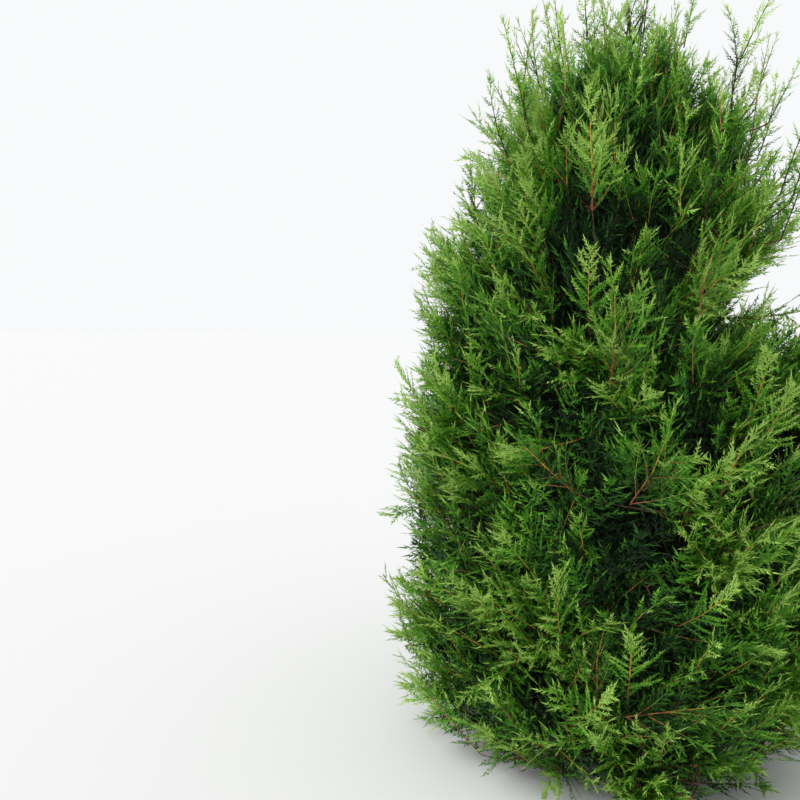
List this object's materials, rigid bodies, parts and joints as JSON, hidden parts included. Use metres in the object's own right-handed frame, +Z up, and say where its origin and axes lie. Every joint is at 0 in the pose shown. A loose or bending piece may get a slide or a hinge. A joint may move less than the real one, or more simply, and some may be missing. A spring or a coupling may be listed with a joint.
{
  "type": "cypress tree",
  "caption": "Bushy, unclipped hedging cypress, foliaged to the ground: leaning trunk, climbing boughs and masses of flat, toothed foliage plumes in a rounded crown.",
  "frame": {"origin": "centre of the flat cut under the trunk, level with the ground", "axes": "+Z straight up; +X to the right and +Y away from the viewer in the picture's view"},
  "size_m": [1.6971, 1.7095, 2.6841],
  "materials": {
    "bark": "matte, fibrous, fissured",
    "twig_bark": "matte, reddish",
    "foliage": "satin leaves"
  },
  "bodies": {
    "root": {"trunk": "bark", "bough_01": "twig_bark", "bough_02": "twig_bark", "bough_03": "twig_bark", "bough_04": "twig_bark", "bough_05": "twig_bark", "bough_06": "twig_bark", "bough_07": "twig_bark", "bough_08": "twig_bark", "bough_09": "twig_bark", "bough_10": "twig_bark", "bough_11": "twig_bark", "bough_12": "twig_bark", "bough_13": "twig_bark", "bough_14": "twig_bark", "bough_15": "twig_bark", "bough_16": "twig_bark", "bough_17": "twig_bark", "bough_18": "twig_bark", "bough_19": "twig_bark", "bough_20": "twig_bark", "bough_21": "twig_bark", "foliage_01": "foliage", "foliage_02": "foliage", "foliage_03": "foliage", "foliage_04": "foliage", "foliage_05": "foliage", "foliage_06": "foliage", "foliage_07": "foliage", "foliage_08": "foliage", "foliage_09": "foliage", "foliage_10": "foliage", "foliage_11": "foliage", "foliage_12": "foliage", "foliage_13": "foliage", "foliage_14": "foliage", "foliage_15": "foliage", "foliage_16": "foliage", "foliage_17": "foliage", "foliage_18": "foliage", "foliage_19": "foliage", "foliage_20": "foliage", "foliage_21": "foliage", "foliage_leader": "foliage"}
  },
  "joints": []
}
